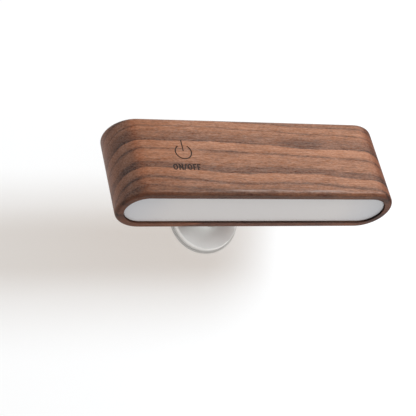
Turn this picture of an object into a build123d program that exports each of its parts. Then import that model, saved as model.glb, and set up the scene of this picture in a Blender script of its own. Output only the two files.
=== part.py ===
from build123d import *
import math
import os

os.makedirs("parts", exist_ok=True)

# All sizes are in millimetres and degrees.
# The origin is the centre of the foot's underside, with +Z up along the stem.
# The head is drawn about its tilt axis: length on X, diffuser on the -Y side, touch face up.

# Walnut head
head_length = 170.0
head_depth = 52.0
head_height = 34.5
front_edge_round = 2.4
back_edge_round = 3.0
wood_wall = 5.0
wood_end_wall = 4.8

# Stance
pivot_height = 52.1
pivot_drop = 8.25
rest_tilt = 20.4
tilt_limit = 55.0

# Clearances
loose_gap = 0.3
trim_gap = 0.15
fit_gap = 0.05
running_gap = 0.1
thrust_gap = 0.2
stop_gap = 0.3

# Touch mark burnt into the top face
mark_x = -45.4
mark_y = 2.15
mark_radius = 4.7
mark_stroke = 0.7
mark_depth = 0.25
mark_gap_angle = 72.0
mark_bar_length = 7.6
mark_bar_start = 0.5
letter_height = 4.0
letter_stroke = 0.85
letter_spacing = 0.45
letter_drop = 10.3

# Diffuser and light engine
diffuser_recess = 1.15
diffuser_thickness = 3.0
diffuser_edge_break = 0.4
reflector_depth = 10.5
reflector_rim = 1.2
reflector_throat_height = 12.0
reflector_throat_margin = 13.0
led_board_clear = 5.2
led_end_margin = 5.0
led_board_height = 20.0
led_board_thickness = 1.6
led_count = 10
led_size = 3.0
led_thickness = 0.8
led_screw_radius = 1.25
led_screw_length = 3.2
pan_head_share = 1.8
small_head_height = 1.3
long_head_height = 1.6

# Chassis that carries the light engine, the cell and the control board
chassis_thickness = 2.0
chassis_post_radius = 4.0
chassis_post_inset = 7.0
board_post_radius = 2.5
lead_window_length = 6.0
lead_window_height = 3.0
chassis_screw_radius = 1.5
insert_radius = 2.4
insert_length = 4.0

# Lithium cell, as thick as fits between the hinge's plate and the roof
cell_length = 65.0
cell_floor_gap = 0.05
cell_end_room = 16.7
cell_edge_round = 0.6
cell_button_radius = 3.0
cell_button_height = 0.8
tab_thickness = 0.3
tab_width = 6.0
tab_height = 8.0
cradle_floor = 1.4
cradle_lip = 1.0
saddle_width = 8.0
saddle_spread = 25.0
strap_thickness = 1.0
strap_width = 5.0

# Control board, between the chassis post and the cell
board_post_gap = 2.2
board_cell_gap = 6.5
board_height = 20.0
board_thickness = 1.6
board_corner_round = 1.5
board_hole_inset = 4.0
board_hole_rise = 6.5
board_screw_radius = 1.25
board_screw_length = 6.0
connector_length = 6.5
connector_depth = 5.0
connector_height = 5.0
connector_inset = 3.0
connector_exit_depth = 1.8
connector_rise = -7.4
led_connector_share = 0.2
led_connector_rise = 5.0
inductor_size = 6.0
inductor_height = 3.0
inductor_corner_round = 1.2
charger_size = 4.0
charger_height = 1.0
touch_chip_length = 5.0
touch_chip_width = 4.0
touch_chip_height = 1.2
capacitor_radius = 2.0
capacitor_height = 5.0
resistor_count = 3
resistor_pitch = 2.5
resistor_width = 1.2
resistor_length = 2.0
resistor_height = 0.5

# Charging socket and its status light
usb_offset = -4.0
usb_width = 8.94
usb_height = 3.26
usb_length = 10.0
usb_shell = 0.3
usb_tongue_width = 6.7
usb_tongue_height = 0.7
bezel_length = 14.0
bezel_height = 8.0
bezel_recess = 1.0
pipe_offset = 14.0
pipe_radius = 1.0
pipe_recess = 0.4
status_led_size = 1.6
status_led_height = 0.8

# Touch electrode
electrode_radius = 7.0
electrode_thickness = 0.3

# Insulated leads
lead_radius = 0.6
lead_share = 0.45
lead_bow = 6.5
lead_hop = 1.0
lead_side_step = 0.96
led_lead_start = 5.0
led_lead_end = 6.0
touch_lead_drop = 1.5

# Tilt hinge
plate_edge = 0.715
plate_thickness = 2.5
plate_screw_reach = 10.0
plate_screw_radius = 1.5
plate_screw_head_radius = 2.75
plate_screw_head_height = 1.6
backing_length = 40.0
backing_gap = 0.35
backing_edge = 1.85
backing_thickness = 2.0
backing_corner_round = 3.0
ear_radius = 6.5
ear_thickness = 3.5
tongue_thickness = 6.0
tongue_radius = 6.2
washer_thickness = 0.5
washer_radius = 5.5
pin_radius = 2.0
pin_thread_radius = 1.5
pin_head_radius = 3.5
pin_head_height = 2.2
pin_head_round = 0.7
pin_hex_radius = 1.4
hex_depth_share = 0.6
nut_height = 2.6
nut_crown = 0.6
stop_lug_angle = 78.0
stop_lug_depth = 3.2

# Stem and swivel
stem_radius = 4.0
stem_top_drop = 7.8
spigot_radius = 3.0
swivel_screw_radius = 2.0
swivel_screw_head_radius = 3.8
swivel_screw_head_height = 1.8
swivel_screw_length = 10.0
swivel_screw_head_round = 0.6
swivel_hex_radius = 1.5
stem_edge_break = 0.4
swivel_washer_radius = 6.5
swivel_washer_thickness = 0.8

# Turned foot
foot_radius = 21.6
foot_edge_break = 0.3
rim_radius = 20.8
rim_round = 0.3
top_height = 6.1
top_flat_radius = 13.0
top_fall = 0.7
boss_radius = 6.0
boss_height = 12.6
boss_edge_round = 0.5
boss_flare = 0.5
swivel_floor = 4.2
swivel_well_radius = 7.5
bush_wall = 1.5
bush_flange_radius = 8.6
bush_flange_thickness = 1.0
pad_radius = 22.7
pad_thickness = 1.0
pad_edge_break = 0.3
weight_inner_radius = 9.5
weight_outer_radius = 19.0
weight_thickness = 2.8
weight_screw_count = 3
weight_screw_radius = 1.25
weight_screw_head_radius = 2.4
weight_screw_head_height = 1.2
weight_screw_bite = 1.2

# Heights and depths of the head, counted from its tilt axis
under_z = pivot_drop
mid_z = under_z + head_height / 2
top_z = under_z + head_height
front_y = -head_depth / 2
back_y = head_depth / 2
cavity_length = head_length - 2 * wood_end_wall
cavity_height = head_height - 2 * wood_wall
cavity_floor_z = under_z + wood_wall
cavity_roof_z = top_z - wood_wall
cavity_back_y = back_y - wood_wall

# The light engine is stacked from the diffuser inwards
diffuser_y = front_y + diffuser_recess
reflector_y = diffuser_y + diffuser_thickness
led_board_y = reflector_y + reflector_depth
chassis_y = led_board_y + led_board_thickness
chassis_back_y = chassis_y + chassis_thickness

# The chassis posts stand near the ends, and the light board lies between their screws
post_x = cavity_length / 2 - chassis_post_inset
led_board_length = 2 * (post_x - led_board_clear)
led_pitch = (led_board_length - 2 * led_end_margin) / (led_count - 1)

# The cell lies against the chassis, and the board stands where the socket reaches its bezel
cell_radius = cavity_height / 2 - backing_thickness - cell_floor_gap - strap_thickness - trim_gap
cell_reach = cell_radius + trim_gap + strap_thickness
cell_x = post_x - chassis_post_radius - cell_end_room - cell_length / 2
cell_y = chassis_back_y + cradle_floor + trim_gap + cell_radius
cell_left_x = cell_x - cell_length / 2
cell_right_x = cell_x + cell_length / 2
socket_mouth_y = back_y - bezel_recess
board_back_y = socket_mouth_y - usb_length
board_y = board_back_y - board_thickness
board_left_x = -post_x + chassis_post_radius + board_post_gap
board_length = cell_left_x - board_cell_gap - board_left_x
board_x = board_left_x + board_length / 2
connector_x = board_x + board_length / 2 - connector_inset - connector_length / 2
connector_z = mid_z + connector_rise
led_connector_x = board_x + led_connector_share * board_length
led_lead_start_z = mid_z + led_board_height / 2 - lead_window_height / 2 - running_gap
usb_x = board_x + usb_offset
pipe_x = usb_x + pipe_offset

# The hinge's plate inside the wood fills the room behind the chassis
backing_width = 2 * (-chassis_back_y - backing_gap)
plate_screw_spread = backing_width / 2 - backing_edge
plate_radius = math.hypot(plate_screw_reach, plate_screw_spread) + plate_screw_head_radius + plate_edge

# The hinge is stacked outwards from the tongue
washer_x = tongue_thickness / 2 + running_gap
ear_x = washer_x + washer_thickness
ear_outer_x = ear_x + ear_thickness
lug_radius = (pivot_drop - stop_gap) / math.cos(math.radians(stop_lug_angle - tilt_limit))
lug_y = lug_radius * math.sin(math.radians(stop_lug_angle))
lug_z = lug_radius * math.cos(math.radians(stop_lug_angle))

# Heights in the foot
pad_top = pad_thickness
rim_height = top_height - top_fall
bush_radius = spigot_radius + fit_gap + bush_wall
bush_top = boss_height + bush_flange_thickness
stem_foot_z = bush_top + running_gap
stem_top_z = pivot_height - stem_top_drop
spigot_end_z = swivel_floor - thrust_gap
washer_z = spigot_end_z - swivel_washer_thickness
weight_roof_z = pad_top + trim_gap + weight_thickness
weight_screw_circle = (weight_inner_radius + weight_outer_radius) / 2

head_place = Pos(0, 0, pivot_height) * Rot(-rest_tilt, 0, 0)


def slab(outline, y, depth, x=0.0, z=mid_z):
    # An outline drawn in the XZ plane, thickened from y towards +Y
    return extrude(Plane.XZ.offset(-y) * Pos(x, z) * outline, amount=-depth)


def rod_x(radius, start, end, y=0.0, z=0.0):
    return Pos((start + end) / 2, y, z) * Rot(0, 90, 0) * Cylinder(radius, end - start)


def rod_y(radius, start, end, x=0.0, z=0.0):
    return Pos(x, (start + end) / 2, z) * Rot(90, 0, 0) * Cylinder(radius, end - start)


def rod_z(radius, start, end, x=0.0, y=0.0):
    return Pos(x, y, (start + end) / 2) * Cylinder(radius, end - start)


def block(x_span, y_span, z_span):
    sizes = [span[1] - span[0] for span in (x_span, y_span, z_span)]
    centre = [(span[0] + span[1]) / 2 for span in (x_span, y_span, z_span)]
    return Pos(*centre) * Box(*sizes)


def spread(middle, size):
    return (middle - size / 2, middle + size / 2)


def screw_y(radius, head_height, seat_y, length, x, z):
    # A pan-head screw that enters towards +Y, its head seated at seat_y
    head_radius = radius * pan_head_share
    head = rod_y(head_radius, seat_y - head_height, seat_y, x, z)
    head = fillet(head.faces().sort_by(Axis.Y)[0].edges(), head_height * 0.35)
    drive = rod_y(head_radius * 0.45, seat_y - head_height, seat_y - head_height * 0.4, x, z)
    return head + rod_y(radius, seat_y, seat_y + length, x, z) - drive


def screw_back_y(radius, head_height, seat_y, length, x, z):
    # The same screw entering towards -Y
    forward = screw_y(radius, head_height, seat_y, length, x, z)
    return Pos(0, 2 * seat_y, 0) * mirror(forward, Plane.XZ)


def countersunk(radius, head_radius, head_height, seat_z, length, x, y):
    # A countersunk screw that enters upwards, its head flush with seat_z
    head = Pos(x, y, seat_z + head_height / 2) * Cone(head_radius, radius, head_height)
    shank = rod_z(radius, seat_z + head_height, seat_z + length, x, y)
    drive = rod_z(head_radius * 0.4, seat_z, seat_z + head_height * 0.6, x, y)
    return head + shank - drive


def stroke(start, end, width):
    # A straight pen stroke with square ends
    run = math.dist(start, end)
    angle = math.degrees(math.atan2(end[1] - start[1], end[0] - start[0]))
    middle = ((start[0] + end[0]) / 2, (start[1] + end[1]) / 2)
    return Pos(*middle) * Rot(0, 0, angle) * Rectangle(run, width)


def letter_o():
    width = letter_height * 0.74
    pen = letter_stroke
    oval = Ellipse(width / 2, letter_height / 2) - Ellipse(width / 2 - pen, letter_height / 2 - pen)
    return Pos(width / 2, 0) * oval, width


def letter_n():
    width = letter_height * 0.66
    low = -letter_height / 2
    high = letter_height / 2
    left = letter_stroke / 2
    right = width - letter_stroke / 2
    pen = letter_stroke
    posts = stroke((left, low), (left, high), pen) + stroke((right, low), (right, high), pen)
    return posts + stroke((left, high - left), (right, low + left), pen), width


def letter_slash():
    width = letter_height * 0.37
    return stroke((0, -letter_height / 2), (width, letter_height / 2), letter_stroke), width


def letter_f():
    width = letter_height * 0.51
    low = -letter_height / 2
    high = letter_height / 2
    pen = letter_stroke
    post = stroke((pen / 2, low), (pen / 2, high), pen)
    top_bar = stroke((0, high - pen / 2), (width, high - pen / 2), pen)
    middle_bar = stroke((0, 0), (width * 0.85, 0), pen)
    return post + top_bar + middle_bar, width


def touch_mark():
    # A power symbol with ON/OFF below it, as a flat sketch about the symbol's centre
    ring = Circle(mark_radius + mark_stroke / 2) - Circle(mark_radius - mark_stroke / 2)
    reach = mark_radius * 2
    half_gap = math.radians(mark_gap_angle / 2)
    wedge = make_face(
        Polyline(
            (0, 0),
            (-reach * math.tan(half_gap), reach),
            (reach * math.tan(half_gap), reach),
            close=True,
        )
    )
    mark = ring - wedge + stroke((0, mark_bar_start), (0, mark_bar_start + mark_bar_length), mark_stroke)
    glyphs = [letter_o(), letter_n(), letter_slash(), letter_o(), letter_f(), letter_f()]
    total = sum(width for _, width in glyphs) + letter_spacing * (len(glyphs) - 1)
    x = -total / 2
    for glyph, width in glyphs:
        mark += Pos(x, -letter_drop) * glyph
        x += width + letter_spacing
    return mark


def plate_screw_places():
    # Four screws in a rectangle, clear of the two ears
    return [
        (x, y)
        for x in (-plate_screw_reach, plate_screw_reach)
        for y in (-plate_screw_spread, plate_screw_spread)
    ]


def chassis_screw_places():
    return [-post_x, post_x]


def board_screw_places():
    reach = board_length / 2 - board_hole_inset
    return [(board_x - reach, mid_z - board_hole_rise), (board_x + reach, mid_z + board_hole_rise)]


def led_places():
    return [(i - (led_count - 1) / 2) * led_pitch for i in range(led_count)]


def led_screw_places():
    # One screw at the middle and one between the last two light chips at each end
    reach = (led_count / 2 - 1) * led_pitch
    return [-reach, 0.0, reach]


def wood_housing():
    body = slab(SlotOverall(head_length, head_height), front_y, head_depth)
    body = fillet(body.faces().sort_by(Axis.Y)[0].edges(), front_edge_round)
    body = fillet(body.faces().sort_by(Axis.Y)[-1].edges(), back_edge_round)
    body -= slab(SlotOverall(cavity_length, cavity_height), front_y, head_depth - wood_wall)
    body -= rod_z(plate_radius + trim_gap, under_z, under_z + plate_thickness)
    for x, y in plate_screw_places():
        body -= rod_z(plate_screw_radius + trim_gap, under_z, cavity_floor_z, x, y)
    for x in chassis_screw_places():
        body -= rod_y(insert_radius + fit_gap, cavity_back_y, cavity_back_y + insert_length, x, mid_z)
    body -= slab(SlotOverall(bezel_length, bezel_height), cavity_back_y, wood_wall, usb_x)
    body -= rod_y(pipe_radius + trim_gap, cavity_back_y, back_y, pipe_x, mid_z)
    body -= extrude(Pos(mark_x, mark_y, top_z - mark_depth) * touch_mark(), amount=mark_depth)
    return body


def diffuser():
    outline = SlotOverall(cavity_length - 2 * trim_gap, cavity_height - 2 * trim_gap)
    body = slab(outline, diffuser_y, diffuser_thickness)
    return chamfer(body.faces().sort_by(Axis.Y)[0].edges(), diffuser_edge_break)


def reflector():
    # A white tray whose walls slope from the diffuser to the row of light chips
    length = cavity_length - 2 * loose_gap
    height = cavity_height - 2 * loose_gap
    body = slab(SlotOverall(length, height), reflector_y, reflector_depth)
    mouth = Plane.XZ.offset(-reflector_y) * Pos(0, mid_z) * SlotOverall(
        length - 2 * reflector_rim, height - 2 * reflector_rim
    )
    throat = Plane.XZ.offset(-led_board_y) * Pos(0, mid_z) * SlotOverall(
        length - 2 * reflector_throat_margin, reflector_throat_height
    )
    return body - loft([mouth.face(), throat.face()])


def led_board():
    body = slab(SlotOverall(led_board_length, led_board_height), led_board_y, led_board_thickness)
    for x in led_screw_places():
        body -= rod_y(led_screw_radius + fit_gap, led_board_y, chassis_y, x, mid_z)
    return body


def led_chips():
    y_span = (led_board_y - led_thickness, led_board_y)
    z_span = spread(mid_z, led_size)
    return [block(spread(x, led_size), y_span, z_span) for x in led_places()]


def led_screws():
    return [
        screw_y(led_screw_radius, small_head_height, led_board_y, led_screw_length, x, mid_z)
        for x in led_screw_places()
    ]


def chassis():
    outline = SlotOverall(cavity_length - 2 * loose_gap, cavity_height - 2 * loose_gap)
    body = slab(outline, chassis_y, chassis_thickness)
    for x in chassis_screw_places():
        body += rod_y(chassis_post_radius, chassis_back_y, cavity_back_y, x, mid_z)
    for x, z in board_screw_places():
        body += rod_y(board_post_radius, chassis_back_y, board_y, x, z)
    for x in chassis_screw_places():
        body -= rod_y(chassis_screw_radius + fit_gap, chassis_y, cavity_back_y, x, mid_z)
    for x, z in board_screw_places():
        body -= rod_y(board_screw_radius, board_back_y - board_screw_length, board_y, x, z)
    for x in led_screw_places():
        body -= rod_y(led_screw_radius, chassis_y, chassis_back_y, x, mid_z)
    window = SlotOverall(lead_window_length, lead_window_height)
    return body - slab(window, chassis_y, chassis_thickness, led_connector_x, led_lead_start_z)


def chassis_screws():
    length = cavity_back_y + insert_length - chassis_y - trim_gap
    return [
        screw_y(chassis_screw_radius, long_head_height, chassis_y, length, x, mid_z)
        for x in chassis_screw_places()
    ]


def chassis_inserts():
    inserts = []
    for x in chassis_screw_places():
        sleeve = rod_y(insert_radius, cavity_back_y, cavity_back_y + insert_length - fit_gap, x, mid_z)
        bore = chassis_screw_radius + fit_gap
        sleeve -= rod_y(bore, cavity_back_y, cavity_back_y + insert_length, x, mid_z)
        inserts.append(sleeve)
    return inserts


def battery_cell():
    shoulder_x = cell_left_x + cell_button_height
    body = rod_x(cell_radius, shoulder_x, cell_right_x, cell_y, mid_z)
    body = fillet(body.edges().filter_by(GeomType.CIRCLE), cell_edge_round)
    return body + rod_x(cell_button_radius, cell_left_x, shoulder_x, cell_y, mid_z)


def battery_tabs():
    y_span = spread(cell_y, tab_width)
    z_span = spread(mid_z, tab_height)
    left = block((cell_left_x - tab_thickness, cell_left_x), y_span, z_span)
    right = block((cell_right_x, cell_right_x + tab_thickness), y_span, z_span)
    return [left, right]


def saddle_places():
    return [cell_x - saddle_spread, cell_x + saddle_spread]


def battery_cradle():
    half_height = cell_radius + cradle_lip
    floor_span = (cell_x - saddle_spread, cell_x + saddle_spread)
    floor_y = (chassis_back_y, chassis_back_y + cradle_floor)
    body = block(floor_span, floor_y, spread(mid_z, cell_radius))
    for x in saddle_places():
        z_span = (mid_z - half_height, mid_z + half_height)
        body += block(spread(x, saddle_width), (chassis_back_y, cell_y), z_span)
    return body - rod_x(cell_radius + trim_gap, cell_left_x, cell_right_x, cell_y, mid_z)


def battery_straps():
    # Half hoops that close over the cell and rest on the saddles
    straps = []
    inner = cell_radius + trim_gap
    for x in saddle_places():
        x_span = spread(x, strap_width)
        hoop = rod_x(cell_reach, *x_span, cell_y, mid_z) - rod_x(inner, *x_span, cell_y, mid_z)
        hoop -= block(x_span, (cell_y - cell_reach, cell_y), spread(mid_z, 2 * cell_reach))
        straps.append(hoop)
    return straps


def control_board():
    body = block(spread(board_x, board_length), (board_y, board_back_y), spread(mid_z, board_height))
    body = fillet(body.edges().filter_by(Axis.Y), board_corner_round)
    for x, z in board_screw_places():
        body -= rod_y(board_screw_radius + fit_gap, board_y, board_back_y, x, z)
    return body


def board_screws():
    return [
        screw_back_y(board_screw_radius, small_head_height, board_back_y, board_screw_length, x, z)
        for x, z in board_screw_places()
    ]


def on_board(along, rise, width, height, thickness):
    # A part on the board's inner face, placed by shares of the board's length and height
    x = board_x + along * board_length
    z = mid_z + rise * board_height
    return block(spread(x, width), (board_y - thickness, board_y), spread(z, height))


def board_components():
    # Chips, coil and capacitors on the inner face, and the status light on the outer one
    inductor = on_board(-0.27, 0.22, inductor_size, inductor_size, inductor_height)
    inductor = fillet(inductor.edges().filter_by(Axis.Y), inductor_corner_round)
    charger = on_board(-0.1, 0.25, charger_size, charger_size, charger_height)
    touch_chip = on_board(-0.08, -0.25, touch_chip_length, touch_chip_width, touch_chip_height)
    capacitor_x = board_x - 0.25 * board_length
    capacitor_z = mid_z - 0.25 * board_height
    capacitor = rod_y(capacitor_radius, board_y - capacitor_height, board_y, capacitor_x, capacitor_z)
    resistor = on_board(0.08, -0.05, resistor_width, resistor_length, resistor_height)
    resistors = [Pos(i * resistor_pitch, 0, 0) * resistor for i in range(resistor_count)]
    status_y = (board_back_y, board_back_y + status_led_height)
    status = block(spread(pipe_x, status_led_size), status_y, spread(mid_z, status_led_size))
    return [inductor, charger, touch_chip, capacitor, *resistors, status]


def lead_connectors():
    # Plug housings on the board for the cell and for the light chips
    y_span = (board_y - connector_depth, board_y)
    places = [(connector_x, connector_z), (led_connector_x, mid_z + led_connector_rise)]
    return [block(spread(x, connector_length), y_span, spread(z, connector_height)) for x, z in places]


def usb_shell_outline(width, height):
    return RectangleRounded(width, height, height * 0.45)


def usb_socket():
    outer = usb_shell_outline(usb_width, usb_height)
    inner = usb_shell_outline(usb_width - 2 * usb_shell, usb_height - 2 * usb_shell)
    body = slab(outer, board_back_y, usb_length, usb_x)
    body -= slab(inner, board_back_y + usb_length * 0.3, usb_length * 0.7, usb_x)
    tongue = Rectangle(usb_tongue_width, usb_tongue_height)
    return body + slab(tongue, board_back_y + usb_length * 0.3, usb_length * 0.6, usb_x)


def usb_bezel():
    outline = SlotOverall(bezel_length - 2 * fit_gap, bezel_height - 2 * fit_gap)
    body = slab(outline, cavity_back_y, socket_mouth_y - cavity_back_y, usb_x)
    hole = usb_shell_outline(usb_width + 2 * fit_gap, usb_height + 2 * fit_gap)
    return body - slab(hole, cavity_back_y, wood_wall, usb_x)


def status_light_pipe():
    return rod_y(pipe_radius, board_back_y + status_led_height, back_y - pipe_recess, pipe_x, mid_z)


def touch_electrode():
    return rod_z(electrode_radius, cavity_roof_z - electrode_thickness, cavity_roof_z, mark_x, mark_y)


def tube(points):
    # A lead along straight runs that are joined by arcs as large as the runs allow
    runs = [math.dist(a, b) for a, b in zip(points, points[1:])]
    radii = []
    for before, here, after, run_in, run_out in zip(points, points[1:], points[2:], runs, runs[1:]):
        turn = (Vector(*here) - Vector(*before)).get_angle(Vector(*after) - Vector(*here))
        radii.append(lead_share * min(run_in, run_out) / math.tan(math.radians(turn / 2)))
    path = FilletPolyline(*points, radius=radii)
    return sweep(Plane(origin=path @ 0, z_dir=path % 0) * Circle(lead_radius), path=path)


def cell_lead_red():
    start_x = cell_left_x - tab_thickness
    turn_y = board_y - connector_exit_depth
    return tube(
        [
            (start_x, cell_y, mid_z),
            (connector_x, cell_y, mid_z),
            (connector_x, turn_y, mid_z + lead_hop),
            (connector_x, turn_y, connector_z + connector_height / 2),
        ]
    )


def cell_lead_black():
    # Round the far end of the cell, then back along its lower corner to the plug
    start_x = cell_right_x + tab_thickness
    corner = (cell_reach + lead_radius + loose_gap) * math.sqrt(0.5)
    low_y = cell_y + corner
    low_z = mid_z - corner
    plug_x = connector_x + connector_length / 2
    plug_y = board_y - connector_exit_depth
    return tube(
        [
            (start_x, cell_y, mid_z),
            (start_x + lead_bow, cell_y, mid_z),
            (start_x + lead_bow, low_y, low_z),
            (cell_left_x, low_y, low_z),
            (plug_x + lead_bow / 2, plug_y, connector_z),
            (plug_x, plug_y, connector_z),
        ]
    )


def led_lead(x):
    end_y = board_y - connector_depth
    end_z = mid_z + led_connector_rise
    return tube(
        [
            (x, chassis_y, led_lead_start_z),
            (x, chassis_back_y + led_lead_start, led_lead_start_z),
            (x, end_y - led_lead_end, end_z),
            (x, end_y, end_z),
        ]
    )


def led_lead_red():
    return led_lead(led_connector_x - lead_side_step)


def led_lead_black():
    return led_lead(led_connector_x + lead_side_step)


def touch_lead():
    x = mark_x + electrode_radius * 0.5
    y = mark_y + electrode_radius * 0.4
    low_z = mid_z + touch_lead_drop
    return tube([(x, y, cavity_roof_z - electrode_thickness), (x, y, low_z), (x, board_y, low_z)])


def hinge_bracket():
    # A round plate let into the wood, with two ears that hold the tilt pin
    body = rod_z(plate_radius, under_z, under_z + plate_thickness)
    outline = Circle(ear_radius) + Pos(0, under_z / 2) * Rectangle(2 * ear_radius, under_z)
    for start in (ear_x, -ear_outer_x):
        body += extrude(Plane.YZ.offset(start) * outline, amount=ear_thickness)
    for start in (ear_x, -ear_outer_x):
        body -= rod_x(pin_radius + fit_gap, start, start + ear_thickness)
    for x, y in plate_screw_places():
        body -= rod_z(plate_screw_radius + fit_gap, under_z, under_z + plate_thickness, x, y)
        sink_top = plate_screw_radius + fit_gap
        sink_mouth = plate_screw_head_radius + fit_gap
        sink = Cone(sink_mouth, sink_top, plate_screw_head_height)
        body -= Pos(x, y, under_z + plate_screw_head_height / 2) * sink
    return body


def backing_plate():
    z_span = (cavity_floor_z, cavity_floor_z + backing_thickness)
    body = block(spread(0, backing_length), spread(0, backing_width), z_span)
    body = fillet(body.edges().filter_by(Axis.Z), backing_corner_round)
    for x, y in plate_screw_places():
        body -= rod_z(plate_screw_radius, cavity_floor_z, cavity_floor_z + backing_thickness, x, y)
    return body


def bracket_screws():
    length = wood_wall + backing_thickness
    return [
        countersunk(
            plate_screw_radius, plate_screw_head_radius, plate_screw_head_height, under_z, length, x, y
        )
        for x, y in plate_screw_places()
    ]


def friction_washers():
    washers = []
    for start in (washer_x, -ear_x):
        ring = rod_x(washer_radius, start, start + washer_thickness)
        washers.append(ring - rod_x(pin_radius + fit_gap, start, start + washer_thickness))
    return washers


def hinge_pin():
    body = rod_x(pin_radius, -ear_outer_x, ear_outer_x)
    body += rod_x(pin_thread_radius, -ear_outer_x - nut_height + nut_crown, -ear_outer_x)
    head = rod_x(pin_head_radius, ear_outer_x, ear_outer_x + pin_head_height)
    head = fillet(head.faces().sort_by(Axis.X)[-1].edges(), pin_head_round)
    drive = Plane.YZ.offset(ear_outer_x + pin_head_height) * RegularPolygon(pin_hex_radius, 6)
    return body + head - extrude(drive, amount=-pin_head_height * hex_depth_share)


def hinge_nut():
    body = rod_x(pin_head_radius, -ear_outer_x - nut_height, -ear_outer_x)
    body = fillet(body.faces().sort_by(Axis.X)[0].edges(), nut_crown)
    return body - rod_x(pin_thread_radius + fit_gap, -ear_outer_x - nut_height + nut_crown, -ear_outer_x)


def stem():
    # A tongue with two stop shoulders on top of a round bar, and a spigot below it
    low = -stem_top_drop
    outline = make_face(
        Polyline(
            (-lug_y, lug_z),
            (lug_y, lug_z),
            (lug_y, lug_z - stop_lug_depth),
            (stem_radius, low),
            (-stem_radius, low),
            (-lug_y, lug_z - stop_lug_depth),
            close=True,
        )
    )
    outline += Circle(tongue_radius)
    tongue = extrude(Plane.YZ.offset(-tongue_thickness / 2) * outline, amount=tongue_thickness)
    tongue -= rod_x(pin_radius + fit_gap, -tongue_thickness / 2, tongue_thickness / 2)
    bar = rod_z(stem_radius, stem_foot_z, stem_top_z)
    bar = chamfer(bar.faces().sort_by(Axis.Z)[0].edges(), stem_edge_break)
    body = Pos(0, 0, pivot_height) * tongue + bar + rod_z(spigot_radius, spigot_end_z, stem_foot_z)
    return body - rod_z(swivel_screw_radius, spigot_end_z, washer_z + swivel_screw_length)


def swivel_washer():
    body = rod_z(swivel_washer_radius, washer_z, spigot_end_z)
    return body - rod_z(swivel_screw_radius + fit_gap, washer_z, spigot_end_z)


def swivel_screw():
    head_floor = washer_z - swivel_screw_head_height
    head = rod_z(swivel_screw_head_radius, head_floor, washer_z)
    head = fillet(head.faces().sort_by(Axis.Z)[0].edges(), swivel_screw_head_round)
    drive = Plane.XY.offset(head_floor) * RegularPolygon(swivel_hex_radius, 6)
    shank = rod_z(swivel_screw_radius - fit_gap, washer_z, washer_z + swivel_screw_length - trim_gap)
    return head + shank - extrude(drive, amount=swivel_screw_head_height * hex_depth_share)


def foot_base():
    # The crowned disc and its boss, turned in one piece
    rim_low = (rim_radius, rim_height - rim_round)
    rim_top = (rim_radius - rim_round, rim_height)
    fall_width = rim_top[0] - top_flat_radius
    fall_radius = (fall_width**2 + top_fall**2) / (2 * top_fall)
    flare_foot = (boss_radius + boss_flare, top_height)
    flare_top = (boss_radius, top_height + boss_flare)
    crown_low = (boss_radius, boss_height - boss_edge_round)
    crown_high = (boss_radius - boss_edge_round, boss_height)
    with BuildPart() as turned:
        with BuildSketch(Plane.XZ):
            with BuildLine():
                Polyline(
                    (0, pad_top),
                    (foot_radius - foot_edge_break, pad_top),
                    (foot_radius, pad_top + foot_edge_break),
                    rim_low,
                )
                RadiusArc(rim_low, rim_top, -rim_round)
                RadiusArc(rim_top, (top_flat_radius, top_height), -fall_radius)
                Line((top_flat_radius, top_height), flare_foot)
                RadiusArc(flare_foot, flare_top, boss_flare)
                Line(flare_top, crown_low)
                RadiusArc(crown_low, crown_high, -boss_edge_round)
                Polyline(crown_high, (0, boss_height), (0, pad_top))
            make_face()
        revolve(axis=Axis.Z)
    body = turned.part
    body -= rod_z(swivel_well_radius, pad_top, swivel_floor)
    body -= rod_z(bush_radius, swivel_floor, boss_height)
    ring = rod_z(weight_outer_radius + trim_gap, pad_top, weight_roof_z)
    ring -= rod_z(weight_inner_radius - trim_gap, pad_top, weight_roof_z)
    body -= ring
    for x, y in weight_screw_places():
        body -= rod_z(weight_screw_radius, weight_roof_z, weight_roof_z + weight_screw_bite, x, y)
    return body


def weight_screw_places():
    angles = [math.radians(90 + 360 * i / weight_screw_count) for i in range(weight_screw_count)]
    return [(weight_screw_circle * math.cos(a), weight_screw_circle * math.sin(a)) for a in angles]


def foot_weight():
    body = rod_z(weight_outer_radius, weight_roof_z - weight_thickness, weight_roof_z)
    body -= rod_z(weight_inner_radius, weight_roof_z - weight_thickness, weight_roof_z)
    floor = weight_roof_z - weight_thickness
    for x, y in weight_screw_places():
        body -= rod_z(weight_screw_radius + fit_gap, floor, weight_roof_z, x, y)
        sink = Cone(
            weight_screw_head_radius + fit_gap, weight_screw_radius + fit_gap, weight_screw_head_height
        )
        body -= Pos(x, y, floor + weight_screw_head_height / 2) * sink
    return body


def weight_screws():
    floor = weight_roof_z - weight_thickness
    length = weight_thickness + weight_screw_bite
    return [
        countersunk(
            weight_screw_radius, weight_screw_head_radius, weight_screw_head_height, floor, length, x, y
        )
        for x, y in weight_screw_places()
    ]


def swivel_bush():
    body = rod_z(bush_radius - fit_gap / 2, swivel_floor, boss_height)
    body += rod_z(bush_flange_radius, boss_height, bush_top)
    return body - rod_z(spigot_radius + fit_gap, swivel_floor, bush_top)


def foot_pad():
    body = rod_z(pad_radius, 0, pad_thickness)
    return chamfer(body.faces().sort_by(Axis.Z)[-1].edges(), pad_edge_break)


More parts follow.
